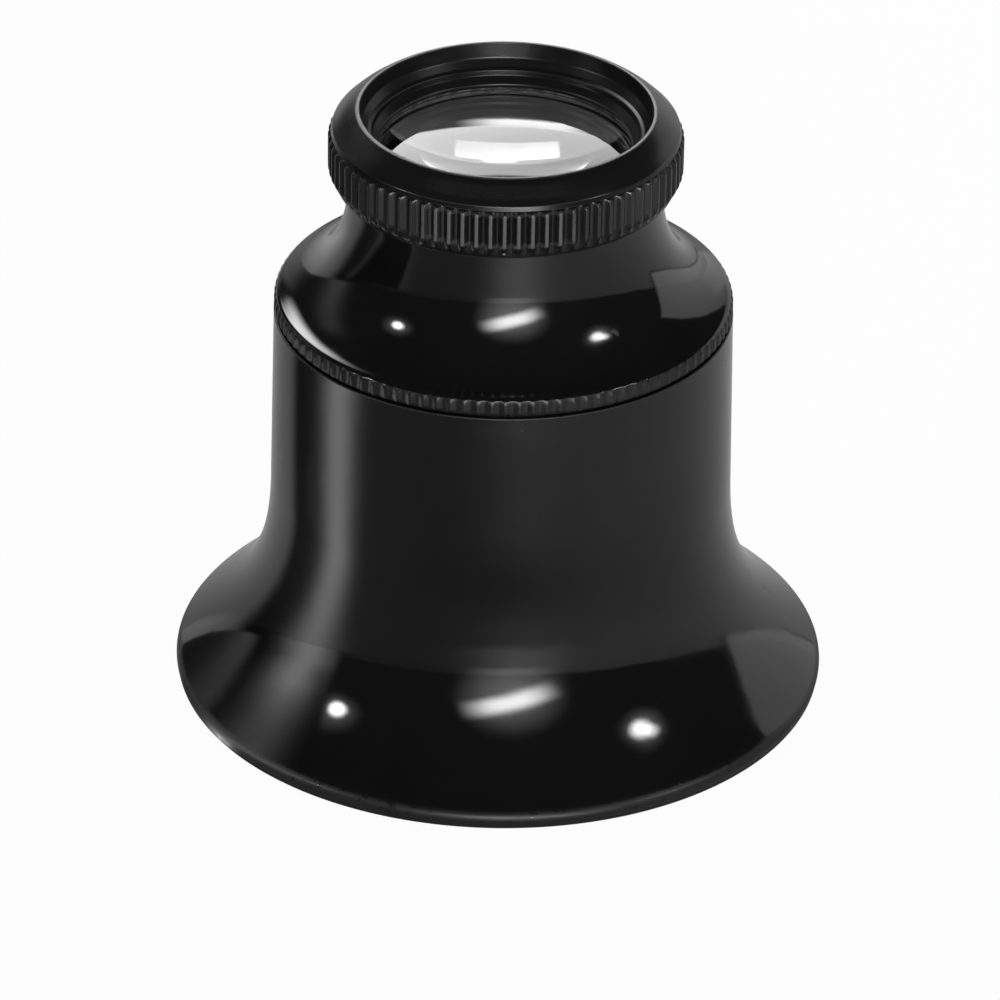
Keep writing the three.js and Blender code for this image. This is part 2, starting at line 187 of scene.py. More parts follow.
# A number inside a material. Arithmetic on it adds Math nodes.
class Signal:
    def __init__(self, look, socket):
        self.look = look
        self.socket = socket

    def math(self, operation, first, second):
        return self.look.add("ShaderNodeMath", {"operation": operation}, {0: first, 1: second})

    def __add__(self, other):
        return self.math("ADD", self, other)

    def __radd__(self, other):
        return self.math("ADD", other, self)

    def __sub__(self, other):
        return self.math("SUBTRACT", self, other)

    def __rsub__(self, other):
        return self.math("SUBTRACT", other, self)

    def __mul__(self, other):
        return self.math("MULTIPLY", self, other)

    def __rmul__(self, other):
        return self.math("MULTIPLY", other, self)

    def __truediv__(self, other):
        return self.math("DIVIDE", self, other)

    def __rtruediv__(self, other):
        return self.math("DIVIDE", other, self)

    def __pow__(self, other):
        return self.math("POWER", self, other)

    def __rpow__(self, other):
        return self.math("POWER", other, self)

    def greater(self, other):
        return self.math("MAXIMUM", self, other)

    def size(self):
        return self.look.add("ShaderNodeMath", {"operation": "ABSOLUTE"}, {0: self})

    def cosine(self):
        return self.look.add("ShaderNodeMath", {"operation": "COSINE"}, {0: self})

    # 1 where the number is middle, falling on both sides to e^-1 at reach from it
    def hump(self, middle, reach):
        off = (self - middle) / reach
        return math.e ** (-1 * off * off)

    # 0 below low, 1 above high and a soft step between them
    def step(self, low, high):
        kind = {"interpolation_type": "SMOOTHSTEP"}
        return self.look.add("ShaderNodeMapRange", kind, {0: self, 1: low, 2: high})

    # the number from 0 to 1 spread from low to high
    def spread(self, low, high):
        return self.look.add("ShaderNodeMapRange", {}, {0: self, 3: low, 4: high})


# A material, a world or a lamp being made: one method adds every node
class Look:
    def __init__(self, owner):
        self.owner = owner
        owner.use_nodes = True
        self.tree = owner.node_tree
        self.tree.nodes.clear()

    def add(self, kind, settings, inputs, output=0):
        node = self.tree.nodes.new(kind)
        for name, value in settings.items():
            setattr(node, name, value)
        for place, value in inputs.items():
            if isinstance(value, Signal):
                self.tree.links.new(value.socket, node.inputs[place])
            else:
                node.inputs[place].default_value = value
        return Signal(self, node.outputs[output]) if node.outputs else None

    def place(self):
        return self.add("ShaderNodeTexCoord", {}, {}, "Object")

    # distance from the upright axis
    def radius(self):
        return self.length(self.scaled(self.place(), (1, 1, 0)))

    def scaled(self, vector, by):
        return self.add("ShaderNodeVectorMath", {"operation": "MULTIPLY"}, {0: vector, 1: by})

    def length(self, vector):
        return self.add("ShaderNodeVectorMath", {"operation": "LENGTH"}, {0: vector}, "Value")

    def part(self, vector, axis):
        return self.add("ShaderNodeSeparateXYZ", {}, {0: vector}, axis)

    # degrees round the upright axis, or round another one: 0 towards the camera and 90 to the right
    def azimuth(self, vector=None, x=0, y=0):
        vector = vector or self.place()
        across, away = self.part(vector, "X") - x, y - self.part(vector, "Y")
        return self.add("ShaderNodeMath", {"operation": "ARCTAN2"}, {0: across, 1: away}) * (180 / math.pi)

    def grey(self, level):
        return self.add("ShaderNodeCombineColor", {}, {0: level, 1: level, 2: level})

    def noise(self, size, detail, roughness=0.5, stretch=(1, 1, 1)):
        place = self.add("ShaderNodeMapping", {}, {"Vector": self.place(), "Scale": stretch})
        inputs = {"Vector": place, "Scale": 1 / size, "Detail": detail, "Roughness": roughness}
        return self.add("ShaderNodeTexNoise", {}, inputs, "Fac")

    def pattern(self, name):
        v = patterns[name]
        level = self.noise(*v["noise"])
        return level.step(*v["cut"]) if "cut" in v else level

    # Small round specks, thinly strewn: near the middle of few of the cells of a Voronoi pattern
    def specks(self, size, radius, share):
        inputs = {"Vector": self.place(), "Scale": 1 / size, "Randomness": 1.0}
        distance = self.add("ShaderNodeTexVoronoi", {}, inputs, "Distance")
        chance = self.add("ShaderNodeTexVoronoi", {}, inputs, "Color")
        choice, edge = 0.01, 0.6  # how soft the choice of a cell is, and where in a speck its edge starts
        chosen = self.add("ShaderNodeSeparateColor", {}, {0: chance}, 0).step(1 - share, 1 - share + choice)
        return chosen * (1 - distance.step(radius * edge, radius))

    def wear(self):
        return self.add("ShaderNodeAttribute", {"attribute_name": "wear"}, {}, "Fac")

    def blend(self, share, first, second):
        return self.add("ShaderNodeMix", {"data_type": "RGBA"}, {0: share, 6: first, 7: second}, 2)

    # 1 for rays of a kind, such as those that mirrors send
    def rayIs(self, kind):
        return self.add("ShaderNodeLightPath", {}, {}, "Is " + kind + " Ray")

    # 1 for what is seen, straight from the camera or through glass
    def seen(self):
        return self.rayIs("Camera").greater(self.rayIs("Transmission"))

    def bump(self, height, distance):
        return self.add("ShaderNodeBump", {}, {"Height": height, "Distance": distance, "Strength": 1.0})

    def finish(self, shader):
        self.add("ShaderNodeOutputMaterial", {}, {"Surface": shader})
        return self.owner


# A colour: one level times a tint
def grey(level, tint=(1, 1, 1)):
    return (level * tint[0], level * tint[1], level * tint[2], 1)


# Noise: its size in metres, detail, roughness and stretch. Cut is where patches of it start and are full.
patterns = {
    "cloud": {"noise": (0.006, 3.0)},
    "grain": {"noise": (0.0004, 2.0, 0.6)},
    "smear": {"noise": (0.009, 4.0, 0.6, (1, 1, 0.35)), "cut": (0.5, 0.75)},
    "scratch": {"noise": (0.0012, 2.0, 0.5, (1, 1, 0.06)), "cut": (0.68, 0.74)},
    "scratchPatch": {"noise": (0.004, 1.0), "cut": (0.45, 0.6)},
    "rub": {"noise": (0.0007, 3.0, 0.7), "cut": (0.2, 0.45)},
    "ripple": {"noise": (0.0025, 1.0)},
    "wipe": {"noise": (0.003, 3.0, 0.6, (1, 0.4, 1)), "cut": (0.55, 0.8)},
    "wave": {"noise": (0.0006, 2.0)},
    "powder": {"noise": (0.00015, 3.0, 0.7)},
    "patch": {"noise": (0.002, 2.0)},
    "chafe": {"noise": (0.0005, 2.0), "cut": (0.45, 0.6)},
    "lines": {"noise": (0.0009, 3.0, 0.7, (0.15, 0.15, 12))},
    "tarnish": {"noise": (0.002, 3.0), "cut": (0.5, 0.75)},
    "paint": {"noise": (0.05, 2.0)},
}

# Each black moulding: its darkest and lightest grey, its roughness where polished and where smeared, the
# share of cells with a dust speck, the height of its skin's ripple in metres, the grey of rubbed edges, and
# the roughness that wear and the bore add. The last is how much of the rubbed grey is kept to patches round
# the piece, one of them facing the camera, which paints a highlight on the ring's lighter crests.
mouldings = {
    "cupBlack": {
        "dark": 0.003, "light": 0.006, "gloss": 0.05, "dull": 0.14, "specular": 0.5, "dust": 0.012,
        "peel": 0.000012, "rubbed": 0.012, "worn": 0.4, "inside": 0.0, "paintedSheenShare": 0.0,
    },
    "housingBlack": {
        "dark": 0.003, "light": 0.0065, "gloss": 0.06, "dull": 0.16, "specular": 0.5, "dust": 0.018,
        "peel": 0.00001, "rubbed": 0.006, "worn": 0.3, "inside": 0.25, "paintedSheenShare": 0.0,
    },
    # The ring's rubbed grey is light: on its worn crests it is partly wear and partly a painted highlight
    "ringBlack": {
        "dark": 0.004, "light": 0.008, "gloss": 0.2, "dull": 0.36, "specular": 0.4, "dust": 0.04,
        "peel": 0.000008, "rubbed": 0.09, "worn": 0.1, "inside": 0.08, "paintedSheenShare": 0.85,
    },
}
# What all three share. A speck of dust is given by its cell's size and by its radius as a share of that, and
# heights are shares of the ripple's. The painted highlight on rubbed crests is in a count of patches round
# the piece, shifted by some degrees so that one faces the camera. Bore edge is where the inside starts, in
# metres from the axis.
skin = {
    "speck": (0.0011, 0.09), "dustCover": 0.8, "dustGrey": grey(0.3, (1, 0.98, 0.94)),
    "dustRoughness": 0.5, "dustHeight": 1.5, "lightTint": (1, 1, 1.05), "rubbedTint": (1, 0.99, 0.97),
    "grainRoughness": 0.03, "grainHeight": 0.04, "scratchRoughness": 0.12, "scratchHeight": 0.1,
    "sheenPatchCount": 3, "sheenPatchShift": 2.5, "sheenPatchCut": (0.05, 0.45), "boreEdge": (0.00815, 0.00825),
}


# Deep colour, faint ripple, smears that dull it here and there, dust specks, fine scratches and rubbed edges,
# and on the ring a painted highlight: its rubbed crests lighter in patches, one of them facing the camera
def mouldedPlastic(name):
    v, s = mouldings[name], skin
    look = Look(bpy.data.materials.new(name))
    grain, smear = look.pattern("grain"), look.pattern("smear")
    scratch = look.pattern("scratch") * look.pattern("scratchPatch")
    dust = look.specks(*s["speck"], v["dust"])
    rubbed = look.wear() * look.pattern("rub")
    # Painted highlight: the rubbed grey is kept mostly to patches round the piece, one facing the camera
    if v["paintedSheenShare"]:
        turn = (look.azimuth() + s["sheenPatchShift"]) * math.radians(s["sheenPatchCount"])
        paintedSheen = turn.cosine().step(*s["sheenPatchCut"])
        rubbed = rubbed * (1 - v["paintedSheenShare"] + paintedSheen * v["paintedSheenShare"])
    colour = look.blend(look.pattern("cloud"), grey(v["dark"]), grey(v["light"], s["lightTint"]))
    colour = look.blend(rubbed, colour, grey(v["rubbed"], s["rubbedTint"]))
    colour = look.blend(dust * s["dustCover"], colour, s["dustGrey"])
    roughness = smear.spread(v["gloss"], v["dull"]) + grain * s["grainRoughness"]
    roughness = roughness + scratch * s["scratchRoughness"] + rubbed * v["worn"]
    if v["inside"]:
        bore = 1 - look.radius().step(*s["boreEdge"])
        roughness = roughness + bore * v["inside"]
    height = look.pattern("ripple") + grain * s["grainHeight"]
    height = height - scratch * s["scratchHeight"] + dust * s["dustHeight"]
    return look.finish(look.add("ShaderNodeBsdfPrincipled", {}, {
        "Base Color": colour,
        "Roughness": roughness + dust * s["dustRoughness"],
        "Specular IOR Level": v["specular"],
        "Normal": look.bump(height, v["peel"]),
    }))


glass = {
    "clear": grey(0.84, (0.99, 1, 0.995)), "frosted": grey(0.8), "dusty": grey(0.7), "index": 1.517,
    "frostFrom": 0.00006, "frostFull": 0.00002, "speck": (0.0009, 0.06), "dust": 0.02,
    "frostRoughness": 0.5, "smearRoughness": 0.02, "dustRoughness": 0.3, "waveHeight": 0.000001,
}


# Clear glass with wiped smears and a little dust, ground to a frost round its edge
def lensGlass(name, lens):
    v, edge = glass, lens["radius"] * mm
    look = Look(bpy.data.materials.new(name))
    frost = look.radius().step(edge - v["frostFrom"], edge - v["frostFull"])
    dust = look.specks(*v["speck"], v["dust"])
    colour = look.blend(dust, look.blend(frost, v["clear"], v["frosted"]), v["dusty"])
    roughness = frost * v["frostRoughness"] + look.pattern("wipe") * v["smearRoughness"]
    return look.finish(look.add("ShaderNodeBsdfPrincipled", {}, {
        "Base Color": colour,
        "Roughness": roughness + dust * v["dustRoughness"],
        "IOR": v["index"],
        "Transmission Weight": 1.0,
        "Normal": look.bump(look.pattern("wave"), v["waveHeight"]),
    }))


# Each name has its darkest and lightest grey and how metallic it is
matt = {
    "rubbedGrey": 0.12, "metalGrey": 0.3, "roughness": (0.5, 0.8), "rubbedLoss": 0.25,
    "powderHeight": 0.00002,
    "slipNylon": (0.012, 0.022, 0.0), "rearNylon": (0.015, 0.028, 0.0), "stopBlack": (0.005, 0.01, 0.2),
}


# Matt black: uneven, slightly powdery, with lighter rubbed edges
def mattBlack(name):
    v, (low, high, metal) = matt, matt[name]
    look = Look(bpy.data.materials.new(name))
    powder = look.pattern("powder")
    rubbed = look.wear() * look.pattern("chafe")
    colour = look.blend(look.pattern("patch"), grey(low), grey(high))
    colour = look.blend(rubbed, colour, grey(v["rubbedGrey"] + v["metalGrey"] * metal))
    return look.finish(look.add("ShaderNodeBsdfPrincipled", {}, {
        "Base Color": colour,
        "Metallic": metal,
        "Roughness": powder.spread(*v["roughness"]) - rubbed * v["rubbedLoss"],
        "Normal": look.bump(powder, v["powderHeight"]),
    }))


steel = {
    "bright": grey(0.55, (1, 1, 1.03)), "dull": grey(0.34, (1.05, 1, 0.92)),
    "roughness": (0.22, 0.38), "tarnishRoughness": 0.15, "lineHeight": 0.00001,
}


# Bright drawn wire: fine lines along it, a little tarnish in patches
def drawnSteel(name):
    v = steel
    look = Look(bpy.data.materials.new(name))
    lines, tarnish = look.pattern("lines"), look.pattern("tarnish")
    return look.finish(look.add("ShaderNodeBsdfPrincipled", {}, {
        "Base Color": look.blend(tarnish, v["bright"], v["dull"]),
        "Metallic": 1.0,
        "Roughness": lines.spread(*v["roughness"]) + tarnish * v["tarnishRoughness"],
        "Normal": look.bump(lines, v["lineHeight"]),
    }))


# A piece's material, the body that it rides on and the solid that it stands for
def dress(piece, node, body, material):
    piece.data.materials.append(material)
    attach(piece, body)
    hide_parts(node)
    print(piece.name, len(piece.data.polygons), "faces")


# In each piece's sizes gaps keep finely stepped walls off their corners, and rows are the points of a wall or
# curve. Wear goes from 0 to 1 and is made where a thread's or rib's share is above that of its crest.
eyeCup = {
    "top": 22.45, "topRadius": 12.6, "standInner": 16.95, "standEdge": 0.05, "standTop": 0.1,
    "rimRadius": 18.1, "rimRound": 0.5, "rimTop": 1.0, "rimFoot": 0.15, "rimStart": -0.5,
    "slope": math.radians(41.8), "rimPull": 4.7, "waistPull": 6.4, "waist": (12.76, 12.5), "wall": 1.3,
    "threadBore": 11.8, "boreStep": 17.6, "threadStart": 18.8, "threadTurns": 2.9,
    "topGap": 0.3, "boreGaps": (0.25, 0.15, 0.3, 0.2),
    "rimRows": 16, "bellRows": 64, "insideRows": 44, "bodyRows": 20, "threadRows": 48, "boreRows": 8,
    "columns": 384, "rimWear": 0.9, "wornWithin": 0.35, "wornFade": 0.2, "threadWear": 0.6, "onCrest": 0.98,
}
cupThread = {"pitch": 1.0, "rootWidth": 0.55, "crestWidth": 0.2, "depth": 0.5, "fade": 0.11}


# Up the outside from the rim, over the top edge, down the threaded bore and back inside the bell
def eyeCupOutline():
    v = eyeCup
    middle = (v["rimRadius"] - v["rimRound"], v["rimTop"] - v["rimRound"])
    leave = math.pi / 2 - v["slope"]
    bellFoot = (middle[0] + v["rimRound"] * math.cos(leave), middle[1] + v["rimRound"] * math.sin(leave))
    bore, thread, step = v["waist"][0] - v["wall"], v["threadBore"], v["boreStep"]
    pulls, gaps = (v["rimPull"], v["waistPull"]), v["boreGaps"]
    inside = bell((v["standInner"], v["standTop"]), v["slope"], pulls[0], (bore, v["waist"][1]), pulls[1],
                  v["insideRows"])
    return np.vstack([
        corner(v["standInner"] + v["standEdge"], 0, soft),
        corner(v["rimRadius"] - v["rimFoot"] / 2, 0, bold),
        arc(middle, v["rimRound"], v["rimStart"], leave, v["rimRows"]),
        bell(bellFoot, v["slope"], pulls[0], v["waist"], pulls[1], v["bellRows"])[1:],
        straight(v["waist"], (v["topRadius"], v["top"] - v["topGap"]), v["bodyRows"])[1:],
        corner(v["topRadius"], v["top"], even),
        corner(thread, v["top"], soft),
        straight((thread, v["top"] - gaps[0]), (thread, step + gaps[1]), v["threadRows"]),
        corner(thread, step, slight),
        corner(bore, step, soft),
        straight((bore, step - gaps[2]), (bore, v["waist"][1] + gaps[3]), v["boreRows"]),
        inside[::-1],
    ])


# The thread stands inwards from its bore, and the rim is worn where it is widest
def eyeCupShape(angle, radius, height):
    v = eyeCup
    bore = np.abs(radius - v["threadBore"]) < onWall
    share = threadShare(angle, height, cupThread, v["threadStart"], v["threadTurns"]) * bore
    rim = np.clip((radius - v["rimRadius"] + v["wornWithin"]) / v["wornFade"], 0, 1) * v["rimWear"]
    return radius - cupThread["depth"] * share, np.maximum((share > v["onCrest"]) * v["threadWear"], rim)


cup = turned("eyeCup", eyeCupOutline(), evenAngles(eyeCup["columns"]), eyeCupShape)
dress(cup, "eye_cup", "eye_cup", mouldedPlastic("cupBlack"))


lensHousing = {
    "skirtFoot": 17.95, "skirtBore": 10.1, "skirtRoot": 11.15, "flange": 22.45, "flangeRadius": 12.27,
    "gapTop": 22.55, "crest": 12.58, "toothDepth": 0.14, "toothBevel": 0.16, "teeth": 105,
    "crestShare": 0.13, "footShare": 0.33, "bandSlack": 0.01,
    "edgeRound": 0.5, "edgeTop": 23.6, "domeSlope": math.radians(17.6), "domePull": 1.92,
    "neckPull": 3.2, "neckRadius": 8.62, "domeTop": 29.55, "shoulder": 30.25,
    "neckRoot": 8.25, "threadEnd": 31.35, "neckEnd": 32.05, "lensBore": 7.3, "lensLedge": 30.7,
    "sight": 6.85, "stopLedge": 27.0, "throat": 6.3, "throatFoot": 26.1,
    "coneRadius": 9.45, "coneFoot": 22.75, "rearLedge": 21.9,
    "groove": 10.6, "grooveTop": 20.05, "grooveFoot": 19.15,
    "skirtThreadStart": 18.3, "skirtThreadTurns": 3.4, "neckThreadStart": 30.45, "neckThreadTurns": 2.0,
    "skirtGaps": (0.2, 0.1), "bandGap": 0.03, "neckGap": 0.06,
    "skirtRows": 36, "bandRows": 4, "edgeRows": 14, "domeRows": 50, "neckRows": 22, "roundSteps": 3,
    "unwornTop": 0.12, "threadWear": 0.6, "onCrest": 0.95,
}
ringThread = {"pitch": 0.4, "rootWidth": 0.22, "crestWidth": 0.08, "depth": 0.25, "fade": 0.11}


# Up the threaded skirt, round the flange and its toothed band, over the dome and neck, and down the bore
def lensHousingOutline():
    v = lensHousing
    middle = (v["crest"] - v["edgeRound"], v["edgeTop"] - v["edgeRound"])
    leave = math.pi / 2 - v["domeSlope"]
    domeFoot = (middle[0] + v["edgeRound"] * math.cos(leave), middle[1] + v["edgeRound"] * math.sin(leave))
    skirt, crest, neck, gaps = v["skirtRoot"], v["crest"], v["neckRoot"], v["skirtGaps"]
    domeTop = v["neckRadius"], v["domeTop"]
    return np.vstack([
        corner(v["skirtBore"], v["skirtFoot"], soft),
        corner(skirt, v["skirtFoot"], bold),
        straight((skirt, v["skirtFoot"] + gaps[0]), (skirt, v["flange"] - gaps[1]), v["skirtRows"]),
        corner(skirt, v["flange"], sharp),
        corner(v["flangeRadius"], v["flange"], crisp),
        corner(v["flangeRadius"], v["gapTop"], crisp),
        corner(crest - v["toothDepth"], v["gapTop"], crisp),
        straight((crest, v["gapTop"] + v["toothBevel"]), (crest, middle[1] - v["bandGap"]), v["bandRows"]),
        arc(middle, v["edgeRound"], 0, leave, v["edgeRows"]),
        bell(domeFoot, v["domeSlope"], v["domePull"], domeTop, v["neckPull"], v["domeRows"])[1:],
        corner(v["neckRadius"], v["shoulder"], bold),
        corner(neck, v["shoulder"], crisp),
        straight((neck, v["shoulder"] + v["neckGap"]), (neck, v["threadEnd"]), v["neckRows"]),
        corner(neck, v["neckEnd"], mild),
        corner(v["lensBore"], v["neckEnd"], mild),
        corner(v["lensBore"], v["lensLedge"], sharp),
        corner(v["sight"], v["lensLedge"], slight),
        corner(v["sight"], v["stopLedge"], sharp),
        corner(v["throat"], v["stopLedge"], slight),
        corner(v["throat"], v["throatFoot"], soft),
        corner(v["coneRadius"], v["coneFoot"], soft),
        corner(v["coneRadius"], v["rearLedge"], slight),
        corner(v["skirtBore"], v["rearLedge"], sharp),
        corner(v["skirtBore"], v["grooveTop"], slight),
        corner(v["groove"], v["grooveTop"], sharp),
        corner(v["groove"], v["grooveFoot"], sharp),
        corner(v["skirtBore"], v["grooveFoot"], slight),
    ])


# Valleys are cut into the band between its teeth, to crest - depth * (1 - tooth), and both threads stand out
# from their roots by depth * share
def lensHousingShape(angle, radius, height):
    v = lensHousing
    valley = v["crest"] - v["toothDepth"]
    band = (radius > valley - onWall) & (height > v["gapTop"] - v["bandSlack"])
    tooth = toothShare(angle, v["teeth"], v["crestShare"], v["footShare"])
    lower = np.clip((height - v["gapTop"]) / v["toothBevel"], 0, 1)
    cut = np.minimum(radius, v["crest"] - v["toothDepth"] * (1 - tooth * lower))
    skirt = (np.abs(radius - v["skirtRoot"]) < onWall) & (height < v["flange"])
    skirtShare = threadShare(angle, height, cupThread, v["skirtThreadStart"], v["skirtThreadTurns"]) * skirt
    neck = (np.abs(radius - v["neckRoot"]) < onWall) & (height > v["shoulder"])
    neckShare = threadShare(angle, height, ringThread, v["neckThreadStart"], v["neckThreadTurns"]) * neck
    shaped = np.where(band, cut, radius) + cupThread["depth"] * skirtShare + ringThread["depth"] * neckShare
    wornTeeth = band * (height < v["edgeTop"] - v["unwornTop"])
    return shaped, wornTeeth + (skirtShare + neckShare > v["onCrest"]) * v["threadWear"]


# The angles at which a tooth of the band starts to rise, reaches its crest, leaves it and is down again
def lensHousingAngles():
    v = lensHousing
    return toothAngles(v["teeth"], [-v["footShare"], -v["crestShare"], v["crestShare"], v["footShare"]])


housing = turned("lensHousing", lensHousingOutline(), lensHousingAngles(), lensHousingShape,
                 steps=lensHousing["roundSteps"])
dress(housing, "lens_housing", "lens_housing", mouldedPlastic("housingBlack"))


knurledRing = {
    "floor": 30.35, "threadBore": 8.57, "footRadius": 9.2, "valley": 9.33, "crest": 9.65,
    "crestFoot": (9.5, 0.6), "crestLow": 0.85, "crestHigh": 2.7, "knurlTop": 2.95,
    "teeth": 80, "crestShare": 0.1, "footShare": 0.46,
    "toothShares": (-0.5, -0.46, -0.3, -0.14, -0.1, 0.1, 0.14, 0.3, 0.46),
    "collar": 9.5, "collarTop": (9.42, 3.2), "slopeMiddle": (8.835, 3.775),
    "top": 4.25, "lipOuter": 8.15, "lipInner": 7.95, "hollow": (7.84, 3.4),
    "stepTop": (7.5, 3.0), "stepEdge": (7.3, 2.9), "stepFoot": (7.26, 2.6),
    "sight": 6.85, "shelfTop": 2.25, "shelfFoot": 2.05, "washerBore": 8.0, "recess": 1.85,
    "threadTop": 1.25, "threadFoot": 0.12, "threadStart": 0.3, "threadTurns": 1.5,
    "footRise": (0.08, 0.16), "crestGap": 0.3, "collarDrop": 0.06,
    "slopeRound": 0.35, "lipRound": 0.07, "shelfRound": 0.04,
    "footRows": 6, "crestRows": 6, "collarRows": 5, "threadRows": 28, "roundSteps": 3,
    "edgeWear": 0.4, "onCrest": 0.99, "crestWithin": 0.05, "boreFrom": 0.01,
}


# Up the toothed wall, over the collar, slope and lip, down the stepped opening and the threaded bore
def knurledRingOutline():
    v = knurledRing
    crest, bore, gap, (out, up) = v["crest"], v["threadBore"], v["crestGap"], v["footRise"]
    collarFoot = v["collar"], v["knurlTop"] - v["collarDrop"]
    rows = np.vstack([
        corner(bore, 0, even),
        corner(v["footRadius"], 0, mild),
        straight((v["footRadius"] + out, up), v["crestFoot"], v["footRows"]),
        corner(crest, v["crestLow"], bold),
        straight((crest, v["crestLow"] + gap), (crest, v["crestHigh"] - gap), v["crestRows"]),
        corner(crest, v["crestHigh"], soft),
        straight(collarFoot, (v["valley"], v["knurlTop"]), v["collarRows"]),
        corner(v["collar"], v["knurlTop"], crisp),
        corner(*v["collarTop"], sharp),
        corner(*v["slopeMiddle"], v["slopeRound"]),
        corner(v["lipOuter"], v["top"], v["lipRound"]),
        corner(v["lipInner"], v["top"], slight),
        corner(*v["hollow"], even),
        corner(*v["stepTop"], sharp),
        corner(*v["stepEdge"], sharp),
        corner(*v["stepFoot"], sharp),
        corner(v["sight"], v["shelfTop"], slight),
        corner(v["sight"], v["shelfFoot"], v["shelfRound"]),
        corner(v["washerBore"], v["shelfFoot"], sharp),
        corner(v["washerBore"], v["recess"], sharp),
        corner(bore, v["recess"], sharp),
        straight((bore, v["threadTop"]), (bore, v["threadFoot"]), v["threadRows"]),
    ])
    rows[:, 1] += v["floor"]
    return rows


# Ribs stand out from the valleys, at valley + (radius - valley) * tooth, the thread stands inwards from its
# bore, and the crests are marked worn: their lighter rubbed grey is partly wear and partly a painted
# highlight
def knurledRingShape(angle, radius, height):
    v = knurledRing
    local = height - v["floor"]
    wall = (radius > v["valley"]) & (local < v["knurlTop"] - onWall)
    tooth = toothShare(angle, v["teeth"], v["crestShare"], v["footShare"])
    bore = (np.abs(radius - v["threadBore"]) < onWall) & (local > v["boreFrom"])
    thread = threadShare(angle, local, ringThread, v["threadStart"], v["threadTurns"]) * bore
    ribbed = np.where(wall, v["valley"] + (radius - v["valley"]) * tooth, radius)
    worn = wall * (tooth > v["onCrest"]) * (radius > v["crest"] - v["crestWithin"])
    return ribbed - ringThread["depth"] * thread, worn


ringAngles = toothAngles(knurledRing["teeth"], knurledRing["toothShares"])
ring = turned("knurledRing", knurledRingOutline(), ringAngles, knurledRingShape,
              steps=knurledRing["roundSteps"], edgeWear=knurledRing["edgeWear"])
dress(ring, "knurled_ring", "knurled_ring", mouldedPlastic("ringBlack"))


lenses = {
    "frontLens": {"radius": 7.2, "capRadius": 6.8, "curve": 31.02, "middle": 31.45, "edge": 1.5},
    "rearLens": {"radius": 10.0, "capRadius": 9.4, "curve": 46.53, "middle": 21.1, "edge": 1.6},
}
faceRows, lensColumns = 30, 144


# A spherical cap on each face, from pole to pole, with an edge between them: the face's height over its seat
# is sqrt(curve^2 - radius^2) less the same at the cap's radius
def lensPiece(name):
    v = lenses[name]
    radius = np.sin(np.linspace(0, math.pi / 2, faceRows)) * v["capRadius"]
    sag = np.sqrt(v["curve"] ** 2 - radius**2) - math.sqrt(v["curve"] ** 2 - v["capRadius"] ** 2)
    top, foot = v["middle"] + v["edge"] / 2, v["middle"] - v["edge"] / 2
    return turned(name, np.vstack([
        run(np.column_stack([radius, foot - sag])),
        corner(v["radius"], foot, mild),
        corner(v["radius"], top, mild),
        run(np.column_stack([radius, top + sag])[::-1]),
    ]), evenAngles(lensColumns), joinRows=False)


frontLens = lensPiece("frontLens")
dress(frontLens, "front_lens", "lens_housing", lensGlass("frontGlass", lenses["frontLens"]))
rearLens = lensPiece("rearLens")
dress(rearLens, "rear_lens", "rear_optics", lensGlass("rearGlass", lenses["rearLens"]))


looseRings = {
    "slipWasher": {"inner": 6.85, "outer": 7.9, "floor": 32.2, "top": 32.4, "reach": 0.04},
    "lightStop": {"inner": 5.4, "outer": 6.75, "floor": 27.0, "top": 27.4, "reach": 0.06},
    "rearWasher": {"inner": 9.45, "outer": 10.0, "floor": 20.0, "top": 20.3, "reach": 0.05},
}
looseColumns = 180


# A flat ring of four corners
def looseRing(name):
    v = looseRings[name]
    return turned(name, np.vstack([
        corner(v["inner"], v["floor"], v["reach"]),
        corner(v["outer"], v["floor"], v["reach"]),
        corner(v["outer"], v["top"], v["reach"]),
        corner(v["inner"], v["top"], v["reach"]),
    ]), evenAngles(looseColumns))


slipWasher = looseRing("slipWasher")
dress(slipWasher, "front_slip_washer", "slip_washer", mattBlack("slipNylon"))
lightStop = looseRing("lightStop")
dress(lightStop, "light_stop", "lens_housing", mattBlack("stopBlack"))
rearWasher = looseRing("rearWasher")
dress(rearWasher, "rear_lens_washer", "rear_optics", mattBlack("rearNylon"))


snapWire = {
    "radius": 0.4, "bend": 10.15, "height": 19.6, "gap": 5.0, "sides": 20, "steps": 260, "endSteps": 10,
}


# A round wire along a circle: each ring of points is the wire's section, and the sections shrink to a point
# over the last half diameter, as a ball does, at both ends
def snapRingPiece():
    v = snapWire
    share = np.linspace(0, 1, v["steps"])
    ends = v["gap"] / v["bend"] / 2
    length = (fullTurn - 2 * ends) * v["bend"]
    tip = v["radius"] * (1 - np.cos(np.linspace(0, math.pi / 2, v["endSteps"])))
    middle = v["radius"] + (length - 2 * v["radius"]) * share[1:-1]
    along = np.concatenate([tip, middle, length - tip[::-1]])
    inward = np.clip(np.minimum(along, length - along) / v["radius"], 0, 1)
    thick = (v["radius"] * np.sqrt(1 - (1 - inward) ** 2))[:, None]
    turn = (ends + along / v["bend"])[:, None]
    side = evenAngles(v["sides"])[None, :]
    points = around(v["bend"] + thick * np.cos(side), turn, v["height"] + thick * np.sin(side))
    return gridMesh("snapRing", points, joinRows=False)


snapRing = snapRingPiece()
dress(snapRing, "rear_snap_ring", "lens_housing", drawnSteel("snapSteel"))


# Sizes in millimetres. Shown is how much of it the camera sees as plain white, and mirrored how much of the
# table below mirrors see.
stage = {
    "flat": (0.001, 5, 10, 20, 40, 80, 160, 320, 640), "radius": 1100, "sweep": 250, "wall": 75,
    "sweepRows": 24, "columns": 160, "shown": 0.96, "mirrored": 0.95, "paint": (0.88, 0.9),
}


